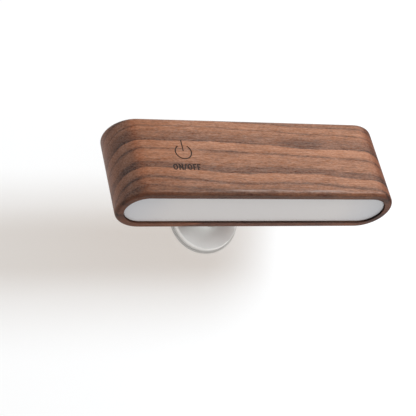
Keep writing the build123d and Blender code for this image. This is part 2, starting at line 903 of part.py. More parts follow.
head_pieces = {
    "wood_housing": wood_housing,
    "diffuser": diffuser,
    "reflector": reflector,
    "led_board": led_board,
    "led_chips": led_chips,
    "led_screws": led_screws,
    "chassis": chassis,
    "chassis_screws": chassis_screws,
    "chassis_inserts": chassis_inserts,
    "battery_cell": battery_cell,
    "battery_tabs": battery_tabs,
    "battery_cradle": battery_cradle,
    "battery_straps": battery_straps,
    "control_board": control_board,
    "board_screws": board_screws,
    "board_components": board_components,
    "lead_connectors": lead_connectors,
    "usb_socket": usb_socket,
    "usb_bezel": usb_bezel,
    "status_light_pipe": status_light_pipe,
    "touch_electrode": touch_electrode,
    "cell_lead_red": cell_lead_red,
    "cell_lead_black": cell_lead_black,
    "led_lead_red": led_lead_red,
    "led_lead_black": led_lead_black,
    "touch_lead": touch_lead,
    "hinge_bracket": hinge_bracket,
    "backing_plate": backing_plate,
    "bracket_screws": bracket_screws,
    "friction_washers": friction_washers,
    "hinge_pin": hinge_pin,
    "hinge_nut": hinge_nut,
}

stand_pieces = {
    "stem": stem,
    "swivel_washer": swivel_washer,
    "swivel_screw": swivel_screw,
    "swivel_bush": swivel_bush,
    "foot_base": foot_base,
    "foot_weight": foot_weight,
    "weight_screws": weight_screws,
    "foot_pad": foot_pad,
}


def write_node(name, shape, place):
    solids = shape if isinstance(shape, list) else shape.solids()
    if len(solids) == 1:
        placed = place * solids[0]
    else:
        placed = Compound(children=[place * solid for solid in solids])
    placed.label = name
    export_step(placed, f"parts/{name}.step")


for name, make in head_pieces.items():
    write_node(name, make(), head_place)

for name, make in stand_pieces.items():
    write_node(name, make(), Pos(0, 0, 0))
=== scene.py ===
import math

import bmesh
import bpy
from mathutils import Matrix, Vector


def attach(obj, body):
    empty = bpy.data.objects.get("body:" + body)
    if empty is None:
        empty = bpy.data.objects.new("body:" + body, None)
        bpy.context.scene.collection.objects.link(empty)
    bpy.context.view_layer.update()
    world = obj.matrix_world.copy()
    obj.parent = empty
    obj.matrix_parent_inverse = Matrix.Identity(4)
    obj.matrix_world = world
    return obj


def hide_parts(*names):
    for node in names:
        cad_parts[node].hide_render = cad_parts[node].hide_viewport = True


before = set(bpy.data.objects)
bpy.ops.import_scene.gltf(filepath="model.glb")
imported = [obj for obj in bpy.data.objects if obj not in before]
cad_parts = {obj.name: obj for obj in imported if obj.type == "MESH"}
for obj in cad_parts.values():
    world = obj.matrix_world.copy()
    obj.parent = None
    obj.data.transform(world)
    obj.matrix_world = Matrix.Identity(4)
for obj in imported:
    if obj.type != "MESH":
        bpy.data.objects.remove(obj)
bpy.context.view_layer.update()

print("stage: frame loaded,", len(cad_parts), "nodes")

# The lamp as it stands: the head's tilt at rest in degrees, the height of its tilt axis in metres, and
# the head's outline and touch mark in millimetres from the middle of that axis
lamp = {
    "restTilt": 20.4,
    "pivotHeight": 0.0521,
    "headLength": 170.0,
    "headDepth": 52.0,
    "headTop": 42.75,
    "headFloor": 8.25,
    "woodWall": 5.0,
    "markX": -45.4,
    "markY": 2.15,
    "markReachX": 10.0,
    "markReachY": 16.0,
}
perMetre = 1000
white = (1.0, 1.0, 1.0)


def newMaterial(name, roughness=0.5, metallic=0.0, specular=0.5):
    # A fresh material with its principled shader, ready to be wired
    material = bpy.data.materials.new(name)
    material.use_nodes = True
    tree = material.node_tree
    shader = tree.nodes["Principled BSDF"]
    shader.inputs["Roughness"].default_value = roughness
    shader.inputs["Metallic"].default_value = metallic
    shader.inputs["Specular IOR Level"].default_value = specular
    return material, tree, shader


def node(tree, kind, **settings):
    made = tree.nodes.new(kind)
    for key, value in settings.items():
        setattr(made, key, value)
    return made


def link(tree, source, target):
    tree.links.new(source, target)


def objectPoint(tree, scale=(1, 1, 1), rotation=(0, 0, 0), location=(0, 0, 0)):
    # Object coordinates through one Mapping node
    coords = node(tree, "ShaderNodeTexCoord")
    mapping = node(tree, "ShaderNodeMapping")
    mapping.inputs["Scale"].default_value = scale
    mapping.inputs["Rotation"].default_value = rotation
    mapping.inputs["Location"].default_value = location
    link(tree, coords.outputs["Object"], mapping.inputs["Vector"])
    return mapping.outputs["Vector"]


def noise(tree, vector, stretch, detail=3.0, rough=0.55, distortion=0.0):
    # Noise with its own stretch along each axis, or one number for all three
    mapping = node(tree, "ShaderNodeMapping")
    mapping.inputs["Scale"].default_value = stretch if isinstance(stretch, tuple) else (stretch,) * 3
    link(tree, vector, mapping.inputs["Vector"])
    made = node(tree, "ShaderNodeTexNoise")
    made.inputs["Scale"].default_value = 1.0
    made.inputs["Detail"].default_value = detail
    made.inputs["Roughness"].default_value = rough
    made.inputs["Distortion"].default_value = distortion
    link(tree, mapping.outputs["Vector"], made.inputs["Vector"])
    return made.outputs["Fac"]


def feed(tree, socket, value):
    # A socket takes either a plain number or another node's output
    if isinstance(value, (int, float)):
        socket.default_value = value
    else:
        link(tree, value, socket)


def calc(tree, operation, first, second=0.0, third=0.0, clamp=False):
    made = node(tree, "ShaderNodeMath", operation=operation, use_clamp=clamp)
    for socket, value in zip(made.inputs, (first, second, third)):
        feed(tree, socket, value)
    return made.outputs[0]


def centred(tree, value, reach, base):
    # Noise about its middle value, scaled and added to a base
    return calc(tree, "MULTIPLY_ADD", calc(tree, "SUBTRACT", value, 0.5), reach, base)


def ease(tree, value, low, high, outLow=0.0, outHigh=1.0):
    # A smooth step from outLow to outHigh
    made = node(tree, "ShaderNodeMapRange", interpolation_type="SMOOTHSTEP")
    feed(tree, made.inputs["Value"], value)
    made.inputs["From Min"].default_value = low
    made.inputs["From Max"].default_value = high
    made.inputs["To Min"].default_value = outLow
    made.inputs["To Max"].default_value = outHigh
    return made.outputs["Result"]


def fall(tree, value, low, high):
    return ease(tree, value, low, high, 1.0, 0.0)


def ramp(tree, value, stops):
    made = node(tree, "ShaderNodeValToRGB")
    made.color_ramp.interpolation = "LINEAR"
    elements = made.color_ramp.elements
    while len(elements) > 1:
        elements.remove(elements[-1])
    elements[0].position = stops[0][0]
    elements[0].color = (*stops[0][1], 1)
    for place, colour in stops[1:]:
        elements.new(place).color = (*colour, 1)
    link(tree, value, made.inputs["Fac"])
    return made.outputs["Color"]


def blendColour(tree, factor, first, second, mode="MIX"):
    made = node(tree, "ShaderNodeMix", data_type="RGBA", blend_type=mode)
    feed(tree, made.inputs["Factor"], factor)
    for socket, value in ((made.inputs[6], first), (made.inputs[7], second)):
        if isinstance(value, tuple):
            socket.default_value = (*value, 1)
        else:
            link(tree, value, socket)
    return made.outputs[2]


def scaled(tree, colour, share):
    # A colour made darker or paler by a share
    made = node(tree, "ShaderNodeVectorMath", operation="SCALE")
    if isinstance(colour, tuple):
        made.inputs[0].default_value = colour
    else:
        link(tree, colour, made.inputs[0])
    link(tree, share, made.inputs["Scale"])
    return made.outputs["Vector"]


def bump(tree, shader, height, distance, strength):
    made = node(tree, "ShaderNodeBump")
    made.inputs["Strength"].default_value = strength
    made.inputs["Distance"].default_value = distance
    link(tree, height, made.inputs["Height"])
    link(tree, made.outputs["Normal"], shader.inputs["Normal"])


def dress(names, material):
    for name in names:
        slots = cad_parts[name].data.materials
        slots.clear()
        slots.append(material)


# Walnut, in millimetres. Figure stops go inwards from the light's face, at the left end, with a tone from
# 0, dark, to 1, pale. The drifts say how far a growth line has moved at each place along the head. Each
# noise has its stretch along, across and up the board, then its detail, roughness and distortion
walnut = {
    "figure": (
        (0.0, 0.46), (2.5, 0.54), (4.4, 0.48), (5.4, 0.32), (6.4, 0.50), (8.0, 0.60), (9.8, 0.56),
        (10.6, 0.28), (11.2, 0.20), (12.0, 0.52), (13.6, 0.72), (17.4, 0.78), (18.2, 0.20), (19.4, 0.32),
        (21.6, 0.28), (22.3, 0.54), (24.4, 0.68), (28.4, 0.72), (29.8, 0.62), (30.6, 0.28), (31.2, 0.60),
        (32.4, 0.78), (36.0, 0.84), (36.7, 0.12), (37.5, 0.38), (40.0, 0.46), (42.8, 0.52), (44.6, 0.68),
        (46.0, 0.72), (46.6, 0.38), (47.6, 0.74), (51.2, 0.72), (52.1, 0.30), (53.6, 0.60), (57.5, 0.40),
        (61.0, 0.72), (65.0, 0.78), (66.0, 0.18), (69.0, 0.38), (73.0, 0.66), (76.0, 0.30), (79.0, 0.62),
        (84.0, 0.70),
    ),
    "upperDrift": (
        (-85, 0.0), (-60, -0.4), (-40, -0.5), (-20, -0.9), (-10, -1.7), (0, -2.2), (10, -2.4), (20, -3.4),
        (30, -4.2), (45, -4.6), (60, -4.9), (85, -6.0),
    ),
    "lowerDrift": (
        (-85, 0.0), (-60, 0.0), (-50, -0.8), (-40, -1.7), (-30, -3.0), (-20, -4.0), (-10, -4.2), (0, -3.8),
        (30, -3.7), (40, -4.5), (50, -6.0), (60, -6.8), (85, -8.2),
    ),
    "driftRange": (-10, 0),
    "driftBand": (16.0, 34.0),
    "lean": 0.5,
    "bends": {"wander": 1.8, "ripple": 1.1},
    "noises": {
        "wander": ((0.03, 0.09, 0.07), 2.0, 0.5),
        "ripple": ((0.16, 0.50, 0.50), 3.0, 0.6),
        "streaks": ((0.05, 0.55, 0.50), 3.0, 0.6),
        "lines": ((0.05, 1.30, 1.20), 3.0, 0.6, 0.1),
        "fibres": ((0.30, 1.60, 1.60), 4.0, 0.65),
        "patches": ((0.05, 0.20, 0.20), 2.0, 0.5),
        "longGlint": ((0.13, 1.30, 1.30), 4.0, 0.72),
        "shortGlint": ((0.50, 1.50, 1.50), 4.0, 0.72),
        "flecks": ((0.42, 1.90, 1.90), 2.0, 0.6),
        "pores": ((0.34, 4.20, 4.20), 1.0, 0.5),
        # This noise breaks the painted edge highlight into short lengths
        "highlightBreaks": ((0.09, 0.60, 0.60), 3.0, 0.6),
    },
    "middleTone": 0.62,
    "toneDepths": {"lines": 0.40, "fibres": 0.40, "patches": 0.35},
    "patch": {
        "along": 31.0,
        "layer": 36.0,
        "halfLength": 19.0,
        "halfWidth": 4.0,
        "depth": 0.26,
        "ragged": 2.2,
    },
    "tones": (
        (0.00, (0.072, 0.033, 0.020)), (0.15, (0.112, 0.053, 0.034)), (0.34, (0.174, 0.082, 0.051)),
        (0.58, (0.255, 0.121, 0.072)), (0.80, (0.333, 0.158, 0.092)), (1.00, (0.430, 0.208, 0.124)),
    ),
    "shimmer": 1.4,
    "shimmerTint": (0.28, 0.20, 0.16),
    "flecks": {
        "least": 0.45,
        "perTone": 0.12,
        "gain": 6.0,
        "share": 0.42,
        "colour": (0.150, 0.110, 0.092),
    },
    "pores": {
        "least": 0.55,
        "perTone": 0.10,
        "gain": 9.0,
        "share": 0.60,
        "colour": (0.045, 0.026, 0.021),
    },
    "endTurn": (0.16, 0.52),
    "endContrast": 0.45,
    "farLeft": {"turn": (0.68, 0.95), "along": (-60.0, -40.0), "fade": -0.85},
    "leftReach": (-66.0, -38.0),
    "rightReach": (-40.0, 40.0),
    # End tones: darker end grain, with painted shade on the right end and a grey painted sheen on the left
    "leftEnd": (
        (0.0, (0.87, 0.78, 0.70)), (0.10, (0.84, 0.72, 0.63)), (0.23, (0.78, 0.63, 0.54)),
        (0.45, (0.60, 0.57, 0.58)), (0.64, (0.71, 0.75, 0.83)), (0.80, (0.76, 0.76, 0.82)),
        (0.92, (0.87, 0.81, 0.80)), (1.0, (0.92, 0.81, 0.79)),
    ),
    "rightEnd": (
        (0.0, (1.0, 1.0, 1.0)), (0.10, (0.97, 0.93, 0.90)), (0.23, (0.865, 0.78, 0.73)),
        (0.45, (0.50, 0.37, 0.29)), (0.60, (0.42, 0.31, 0.26)), (1.0, (0.42, 0.32, 0.27)),
    ),
    # Painted shade on the land round the diffuser
    "landTurn": (0.15, 0.8),
    "landRise": (10.0, 40.0),
    "landUpper": (0.72, 0.58, 0.46),
    "landLower": (1.00, 0.69, 0.48),
    "landRight": {"reach": (62.0, 76.0), "tone": (0.52, 0.37, 0.27)},
    "landLeft": {"reach": (-28.0, -58.0), "tone": (0.66, 0.50, 0.37)},
    # Painted shade on the front edge at the left
    "frontShade": {"fromFront": (3.0, 6.0), "along": (-5.0, 18.0), "sunk": (3.0, 5.0), "tone": 0.76},
    # A painted highlight along the front edge, broken into short lengths
    "edgeHighlight": {
        "place": 2.45,
        "width": (0.2, 0.8),
        "highlightBreaks": (0.34, 0.58),
        "starts": (-34.0, -12.0),
        "stops": (38.0, 56.0),
        "sunk": (2.5, 3.5),
        "share": 0.46,
        "colour": (0.40, 0.32, 0.29),
    },
    # Painted shade inside the hollow
    "hollow": {"short": (0.8, 0.5), "turn": (0.3, 0.6), "tone": (0.30, 0.25, 0.23)},
    "mark": {"below": (0.04, 0.14), "above": (0.4, 0.5), "soft": 1.0, "char": (0.030, 0.017, 0.012)},
    "roughness": 0.44,
    "poreRoughness": 0.20,
    "fibreRoughness": 0.18,
    "endRoughness": 0.35,
    "specular": 0.22,
    "relief": {"pores": -0.8, "fibres": 0.5, "distance": 0.00006, "strength": 0.8},
}


def drawnCurve(tree, value, points, low, high, straight=False):
    # A drawn curve through (place, height) points, with heights from low to high
    first, last = points[0][0], points[-1][0]
    made = node(tree, "ShaderNodeFloatCurve")
    line = made.mapping.curves[0]
    while len(line.points) < len(points):
        line.points.new(0.5, 0.5)
    for dot, (place, height) in zip(line.points, points):
        dot.location = ((place - first) / (last - first), (height - low) / (high - low))
        dot.handle_type = "VECTOR" if straight else "AUTO"
    made.mapping.update()
    share = calc(tree, "DIVIDE", calc(tree, "SUBTRACT", value, first), last - first, clamp=True)
    link(tree, share, made.inputs["Value"])
    return calc(tree, "MULTIPLY_ADD", made.outputs[0], high - low, low)


def readBoard(tree):
    # Places on the board, level and measured from the middle of the tilt axis, and which way it faces
    tilt = math.radians(lamp["restTilt"])
    pivot = Matrix.Rotation(tilt, 3, "X") @ Vector((0, 0, lamp["pivotHeight"] * perMetre))
    point = objectPoint(tree, (perMetre,) * 3, (tilt, 0, 0), tuple(-pivot))
    split = node(tree, "ShaderNodeSeparateXYZ")
    link(tree, point, split.inputs["Vector"])
    along, across, rise = split.outputs
    sunk = calc(tree, "SUBTRACT", lamp["headTop"], rise)
    fromFront = calc(tree, "ADD", across, lamp["headDepth"] / 2)
    coords = node(tree, "ShaderNodeTexCoord")
    facing = node(tree, "ShaderNodeSeparateXYZ")
    link(tree, coords.outputs["Normal"], facing.inputs["Vector"])
    ahead = calc(tree, "MULTIPLY", facing.outputs["Z"], math.sin(tilt))
    return {
        "point": point,
        "along": along,
        "across": across,
        "rise": rise,
        "sunk": sunk,
        "fromFront": fromFront,
        "layer": calc(tree, "MULTIPLY_ADD", sunk, walnut["lean"], fromFront),
        "turned": calc(tree, "ABSOLUTE", facing.outputs["X"]),
        "ahead": calc(tree, "MULTIPLY_ADD", facing.outputs["Y"], -math.cos(tilt), ahead),
        "atRight": ease(tree, along, *walnut["rightReach"]),
    }


def boardNoise(tree, board, kind):
    return noise(tree, board["point"], *walnut["noises"][kind])


def growthTone(tree, board):
    # Growth layers lean through the block and drift along it, with a little wander and ripple
    upper = drawnCurve(tree, board["along"], walnut["upperDrift"], *walnut["driftRange"])
    lower = drawnCurve(tree, board["along"], walnut["lowerDrift"], *walnut["driftRange"])
    share = ease(tree, board["layer"], *walnut["driftBand"])
    drift = calc(tree, "MULTIPLY_ADD", calc(tree, "SUBTRACT", upper, lower), share, lower)
    grown = calc(tree, "SUBTRACT", board["layer"], drift)
    for kind, reach in walnut["bends"].items():
        grown = centred(tree, boardNoise(tree, board, kind), reach, grown)
    return drawnCurve(tree, grown, walnut["figure"], 0, 1, straight=True)


def boldened(tree, board, tone, endGrain):
    # The figure stands out more in end grain, but fades at the far left
    faded = walnut["farLeft"]
    farLeft = ease(tree, board["turned"], *faded["turn"])
    farLeft = calc(tree, "MULTIPLY", farLeft, fall(tree, board["along"], *faded["along"]))
    bolder = calc(tree, "MULTIPLY_ADD", endGrain, walnut["endContrast"], 1.0)
    bolder = calc(tree, "MULTIPLY_ADD", farLeft, faded["fade"], bolder)
    middle = walnut["middleTone"]
    return calc(tree, "MULTIPLY_ADD", calc(tree, "SUBTRACT", tone, middle), bolder, middle)


def streaked(tree, board, tone):
    # One darker patch in the upper band, then lines, fibres and soft patches along the grain
    spot = walnut["patch"]
    offX = calc(tree, "DIVIDE", calc(tree, "SUBTRACT", board["along"], spot["along"]), spot["halfLength"])
    offY = calc(tree, "DIVIDE", calc(tree, "SUBTRACT", board["layer"], spot["layer"]), spot["halfWidth"])
    away = calc(tree, "ADD", calc(tree, "MULTIPLY", offX, offX), calc(tree, "MULTIPLY", offY, offY))
    away = centred(tree, boardNoise(tree, board, "streaks"), spot["ragged"], away)
    tone = calc(tree, "SUBTRACT", tone, ease(tree, away, 0.0, 1.0, spot["depth"], 0.0))
    grains = {kind: boardNoise(tree, board, kind) for kind in walnut["toneDepths"]}
    for kind, depth in walnut["toneDepths"].items():
        tone = centred(tree, grains[kind], depth, tone)
    return calc(tree, "MAXIMUM", tone, 0.0), grains["fibres"]


def glinting(tree, board, colour):
    # Long and short glints in the fibres, nearly the same in each colour
    both = calc(tree, "ADD", boardNoise(tree, board, "longGlint"), boardNoise(tree, board, "shortGlint"))
    glint = calc(tree, "MULTIPLY", calc(tree, "SUBTRACT", both, 1.0), walnut["shimmer"])
    gleam = node(tree, "ShaderNodeVectorMath", operation="MULTIPLY_ADD")
    gleam.inputs[0].default_value = walnut["shimmerTint"]
    link(tree, glint, gleam.inputs[1])
    link(tree, colour, gleam.inputs[2])
    return gleam.outputs["Vector"]


def speckled(tree, board, kind, tone, colour):
    # Marks that are short along the grain, where its noise passes a level that rises with the tone
    marks = walnut[kind]
    level = calc(tree, "MULTIPLY_ADD", tone, marks["perTone"], marks["least"])
    above = calc(tree, "SUBTRACT", boardNoise(tree, board, kind), level)
    mask = calc(tree, "MULTIPLY", above, marks["gain"], clamp=True)
    share = calc(tree, "MULTIPLY", mask, marks["share"])
    return blendColour(tree, share, colour, marks["colour"]), mask


def endGrainShadeAndSheen(tree, board, colour):
    # End grain is darker than the faces. On top of that, the right end carries painted shade and the left
    # end a grey painted sheen
    leftTone = ramp(tree, board["turned"], walnut["leftEnd"])
    leftTone = blendColour(tree, fall(tree, board["along"], *walnut["leftReach"]), white, leftTone)
    rightTone = ramp(tree, board["turned"], walnut["rightEnd"])
    endTone = blendColour(tree, board["atRight"], leftTone, rightTone)
    return blendColour(tree, 1.0, colour, endTone, "MULTIPLY")


def landShaded(tree, board, colour):
    # Painted shade on the land round the diffuser, in one tone above it, another below it, and darker at
    # both ends
    high = ease(tree, board["rise"], *walnut["landRise"])
    tone = blendColour(tree, high, walnut["landLower"], walnut["landUpper"])
    for end in (walnut["landRight"], walnut["landLeft"]):
        tone = blendColour(tree, ease(tree, board["along"], *end["reach"]), tone, end["tone"])
    tone = blendColour(tree, ease(tree, board["ahead"], *walnut["landTurn"]), white, tone)
    return blendColour(tree, 1.0, colour, tone, "MULTIPLY")


def frontShadeAndHighlight(tree, board, colour):
    # Painted shade darkens the front edge at the left, and a painted highlight runs along it in short
    # broken lengths further on
    dark = walnut["frontShade"]
    atFront = fall(tree, board["fromFront"], *dark["fromFront"])
    for place in ("along", "sunk"):
        atFront = calc(tree, "MULTIPLY", atFront, fall(tree, board[place], *dark[place]))
    colour = scaled(tree, colour, calc(tree, "MULTIPLY_ADD", atFront, dark["tone"] - 1, 1.0))
    edge = walnut["edgeHighlight"]
    offEdge = calc(tree, "ABSOLUTE", calc(tree, "SUBTRACT", board["fromFront"], edge["place"]))
    onEdge = fall(tree, offEdge, *edge["width"])
    for limit in (
        ease(tree, boardNoise(tree, board, "highlightBreaks"), *edge["highlightBreaks"]),
        ease(tree, board["along"], *edge["starts"]),
        fall(tree, board["along"], *edge["stops"]),
        ease(tree, board["sunk"], *edge["sunk"], edge["share"], 0.0),
    ):
        onEdge = calc(tree, "MULTIPLY", onEdge, limit)
    return blendColour(tree, onEdge, colour, edge["colour"])


def hollowShaded(tree, board, colour):
    # Painted shade on the walls inside the hollow, from just short of the wood's thickness inwards
    hollow = walnut["hollow"]
    halfRound = (lamp["headTop"] - lamp["headFloor"]) / 2
    past = calc(tree, "ABSOLUTE", board["along"])
    past = calc(tree, "MAXIMUM", calc(tree, "SUBTRACT", past, lamp["headLength"] / 2 - halfRound), 0.0)
    high = calc(tree, "SUBTRACT", board["rise"], (lamp["headTop"] + lamp["headFloor"]) / 2)
    radius = calc(tree, "MULTIPLY_ADD", past, past, calc(tree, "MULTIPLY", high, high))
    deep = calc(tree, "SUBTRACT", halfRound, calc(tree, "SQRT", radius))
    inside = ease(tree, deep, *[lamp["woodWall"] - short for short in hollow["short"]])
    inside = calc(tree, "MULTIPLY", inside, fall(tree, board["ahead"], *hollow["turn"]))
    shadedWalls = blendColour(tree, 1.0, colour, hollow["tone"], "MULTIPLY")
    return blendColour(tree, inside, colour, shadedWalls)


def markBurnt(tree, board, colour):
    # The touch mark is burnt in, so what lies just below the top face there is charred
    mark = walnut["mark"]
    shallow = ease(tree, board["sunk"], *mark["below"])
    burnt = calc(tree, "MULTIPLY", shallow, fall(tree, board["sunk"], *mark["above"]))
    near = []
    for place, middle, reach in (
        ("along", lamp["markX"], lamp["markReachX"]),
        ("across", lamp["markY"], lamp["markReachY"]),
    ):
        off = calc(tree, "ABSOLUTE", calc(tree, "SUBTRACT", board[place], middle))
        near.append(fall(tree, off, reach, reach + mark["soft"]))
    burnt = calc(tree, "MULTIPLY", burnt, calc(tree, "MULTIPLY", *near))
    return blendColour(tree, burnt, colour, mark["char"])


def makeWalnut():
    material, tree, shader = newMaterial("oiledWalnut", walnut["roughness"], 0.0, walnut["specular"])
    board = readBoard(tree)
    # End grain shows where the surface turns away from the board's length
    endGrain = ease(tree, board["turned"], *walnut["endTurn"])
    tone = boldened(tree, board, growthTone(tree, board), endGrain)
    tone, fibres = streaked(tree, board, tone)
    colour = glinting(tree, board, ramp(tree, tone, walnut["tones"]))
    # Grey flecks, then open pores: both crowd the dark bands
    colour, _ = speckled(tree, board, "flecks", tone, colour)
    colour, poreMask = speckled(tree, board, "pores", tone, colour)
    # In turn: end grain with painted shade and sheen, painted shade on the land, painted shade and a
    # painted highlight on the front edge, painted shade in the hollow, then the burnt mark
    for treat in (endGrainShadeAndSheen, landShaded, frontShadeAndHighlight, hollowShaded, markBurnt):
        colour = treat(tree, board, colour)
    link(tree, colour, shader.inputs["Base Color"])

    rough = calc(tree, "MULTIPLY_ADD", poreMask, walnut["poreRoughness"], walnut["roughness"])
    rough = centred(tree, fibres, walnut["fibreRoughness"], rough)
    rightEnd = calc(tree, "MULTIPLY", endGrain, board["atRight"])
    rough = calc(tree, "MULTIPLY_ADD", rightEnd, walnut["endRoughness"], rough)
    link(tree, rough, shader.inputs["Roughness"])
    relief = walnut["relief"]
    height = calc(tree, "MULTIPLY", fibres, relief["fibres"])
    height = calc(tree, "MULTIPLY_ADD", poreMask, relief["pores"], height)
    bump(tree, shader, height, relief["distance"], relief["strength"])
    return material


dress(["wood_housing"], makeWalnut())
print("stage: walnut")

# Opal diffuser: pale acrylic with a satin face, with painted shade darkening it towards its ends
opal = {
    "colour": (0.97, 0.895, 0.855),
    # Painted shade towards the diffuser's ends
    "endShade": (0.81, 0.785, 0.79),
    "endShadeReach": (0.046, 0.080),
    "cloud": {"stretch": (30, 60, 60), "reach": 0.010},
    "roughness": 0.34,
    "specular": 0.4,
    "subsurface": 0.15,
    "subsurfaceRadius": 0.003,
    "grain": {"stretch": 2600, "distance": 0.00001, "strength": 0.25},
    "detail": 2.0,
}


def makeOpal():
    material, tree, shader = newMaterial("opalAcrylic", opal["roughness"], 0.0, opal["specular"])
    point = objectPoint(tree)
    split = node(tree, "ShaderNodeSeparateXYZ")
    link(tree, point, split.inputs["Vector"])
    cloud = noise(tree, point, opal["cloud"]["stretch"], opal["detail"])
    outward = calc(tree, "ABSOLUTE", split.outputs["X"])
    outward = centred(tree, cloud, opal["cloud"]["reach"], outward)
    endShade = ease(tree, outward, *opal["endShadeReach"])
    link(tree, blendColour(tree, endShade, opal["colour"], opal["endShade"]), shader.inputs["Base Color"])
    shader.inputs["Subsurface Weight"].default_value = opal["subsurface"]
    shader.inputs["Subsurface Radius"].default_value = (opal["subsurfaceRadius"],) * 3
    grain = opal["grain"]
    skin = noise(tree, point, grain["stretch"], opal["detail"])
    bump(tree, shader, skin, grain["distance"], grain["strength"])
    return material


dress(["diffuser"], makeOpal())
print("stage: diffuser")

# Turned metal: the lathe's fine rings about the axis, and the stretched shine that they give
turned = {
    "ringPitch": 0.00022,
    "waveRate": 20,
    "ringDistortion": 0.4,
    "ringDetail": 2.0,
    "ringDistance": 0.000012,
    "ringStrength": 0.35,
    "smear": {"stretch": 90, "depth": 0.10},
    "dust": {"stretch": 1800, "detail": 2.0, "depth": 0.12},
    "shineTurn": 0.25,
}
turnedPieces = {
    "turnedFoot": {
        "pieces": ("foot_base",),
        "colour": (0.92, 0.92, 0.905),
        "roughness": 0.46,
        "anisotropy": 0.85,
        # Painted shade on the foot's wall near the pad
        "skirtShade": {"from": 0.0022, "to": 0.0036, "tone": 0.76},
    },
    "turnedStem": {"pieces": ("stem",), "colour": (0.60, 0.60, 0.59), "roughness": 0.32, "anisotropy": 0.4},
}


def makeTurned(name, colour, roughness, anisotropy, skirtShade=None):
    material, tree, shader = newMaterial(name, roughness, 1.0)
    point = objectPoint(tree)
    rings = node(tree, "ShaderNodeTexWave", wave_type="RINGS", rings_direction="Z", wave_profile="SIN")
    rings.inputs["Scale"].default_value = 1 / (turned["ringPitch"] * turned["waveRate"])
    rings.inputs["Distortion"].default_value = turned["ringDistortion"]
    rings.inputs["Detail"].default_value = turned["ringDetail"]
    link(tree, point, rings.inputs["Vector"])
    smear = noise(tree, point, turned["smear"]["stretch"])
    dust = noise(tree, point, turned["dust"]["stretch"], turned["dust"]["detail"])
    tint = centred(tree, smear, turned["smear"]["depth"], 1.0)
    if skirtShade:
        # Painted shade: the wall darkens towards the pad, standing in for the shadow it mirrors there
        split = node(tree, "ShaderNodeSeparateXYZ")
        link(tree, point, split.inputs["Vector"])
        padShade = ease(tree, split.outputs["Z"], skirtShade["from"], skirtShade["to"], skirtShade["tone"], 1.0)
        tint = calc(tree, "MULTIPLY", tint, padShade)
    link(tree, scaled(tree, colour, tint), shader.inputs["Base Color"])
    link(tree, centred(tree, dust, turned["dust"]["depth"], roughness), shader.inputs["Roughness"])
    shader.inputs["Anisotropic"].default_value = anisotropy
    shader.inputs["Anisotropic Rotation"].default_value = turned["shineTurn"]
    tangent = node(tree, "ShaderNodeTangent", direction_type="RADIAL", axis="Z")
    link(tree, tangent.outputs["Tangent"], shader.inputs["Tangent"])
    bump(tree, shader, rings.outputs["Fac"], turned["ringDistance"], turned["ringStrength"])
    return material


# Satin metal: a brushed or rolled grain, which a piece's own stretch can point another way
satin = {
    "smear": {"stretch": 120, "depth": 0.14},
    "grainRoughness": 0.2,
    "grainDistance": 0.00001,
    "grainStrength": 0.3,
}
satinPieces = {
    "satinBracket": {"pieces": ("hinge_bracket",), "colour": (0.60, 0.60, 0.59), "roughness": 0.34},
    "satinStainless": {
        "pieces": ("hinge_pin", "hinge_nut", "usb_socket"),
        "colour": (0.56, 0.56, 0.55),
        "roughness": 0.28,
    },
    "nickelStrip": {"pieces": ("battery_tabs",), "colour": (0.55, 0.53, 0.49), "roughness": 0.3},
    "rolledSteel": {
        "pieces": ("backing_plate", "foot_weight"),
        "colour": (0.30, 0.31, 0.32),
        "roughness": 0.42,
        "stretch": (3000, 300, 300),
    },
    "zincPlate": {
        "pieces": (
            "led_screws", "chassis_screws", "board_screws", "bracket_screws", "weight_screws",
            "swivel_screw", "swivel_washer",
        ),
        "colour": (0.58, 0.60, 0.62),
        "roughness": 0.3,
    },
    "turnedBrass": {
        "pieces": ("chassis_inserts",),
        "colour": (0.62, 0.42, 0.16),
        "roughness": 0.3,
        "stretch": (4000, 400, 400),
    },
    "copperFoil": {
        "pieces": ("touch_electrode",),
        "colour": (0.70, 0.34, 0.20),
        "roughness": 0.32,
        "stretch": (900, 900, 900),
    },
}


def makeSatinMetal(name, colour, roughness, stretch=(400, 400, 4000)):
    material, tree, shader = newMaterial(name, roughness, 1.0)
    point = objectPoint(tree)
    grain = noise(tree, point, stretch)
    smear = noise(tree, point, satin["smear"]["stretch"])
    tint = centred(tree, smear, satin["smear"]["depth"], 1.0)
    link(tree, scaled(tree, colour, tint), shader.inputs["Base Color"])
    link(tree, centred(tree, grain, satin["grainRoughness"], roughness), shader.inputs["Roughness"])
    bump(tree, shader, grain, satin["grainDistance"], satin["grainStrength"])
    return material


def dressAll(looks, make):
    for name, look in looks.items():
        settings = {key: value for key, value in look.items() if key != "pieces"}
        dress(look["pieces"], make(name, **settings))


dressAll(turnedPieces, makeTurned)
dressAll(satinPieces, makeSatinMetal)
print("stage: metals")

